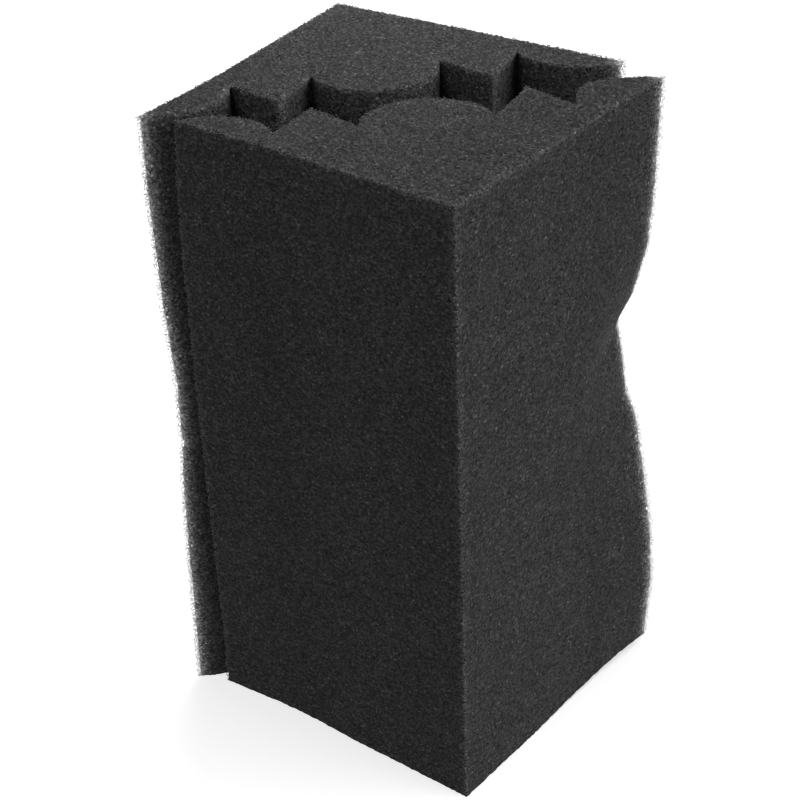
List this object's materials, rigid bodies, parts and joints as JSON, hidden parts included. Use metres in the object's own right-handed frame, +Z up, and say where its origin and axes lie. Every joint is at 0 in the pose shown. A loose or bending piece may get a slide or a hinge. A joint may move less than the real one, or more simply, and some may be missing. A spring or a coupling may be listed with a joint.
{
  "type": "corner foam block pair",
  "caption": "Dark open-cell foam corner blocks, upright wedges whose long face carries rounded lobes and sharp ridges; for filtering, padding or damping a square corner",
  "frame": {"origin": "on the surface the blocks stand on, under the middle of the pair's bounding box", "axes": "+Z up along the blocks' height, +Y from the front block to the rear block along the front block's line of symmetry, +X to the right seen from the front"},
  "size_m": [0.1748, 0.1776, 0.241],
  "materials": {
    "charcoal_foam": "matt open-cell polyurethane foam"
  },
  "bodies": {
    "rear": {"rear_block": "charcoal_foam"},
    "front": {"front_block": "charcoal_foam"}
  },
  "joints": [
    {"name": "pull_apart", "type": "slide", "parent": "rear", "child": "front", "axis": [0, -1, 0], "range_m": [0, 0.12]}
  ]
}
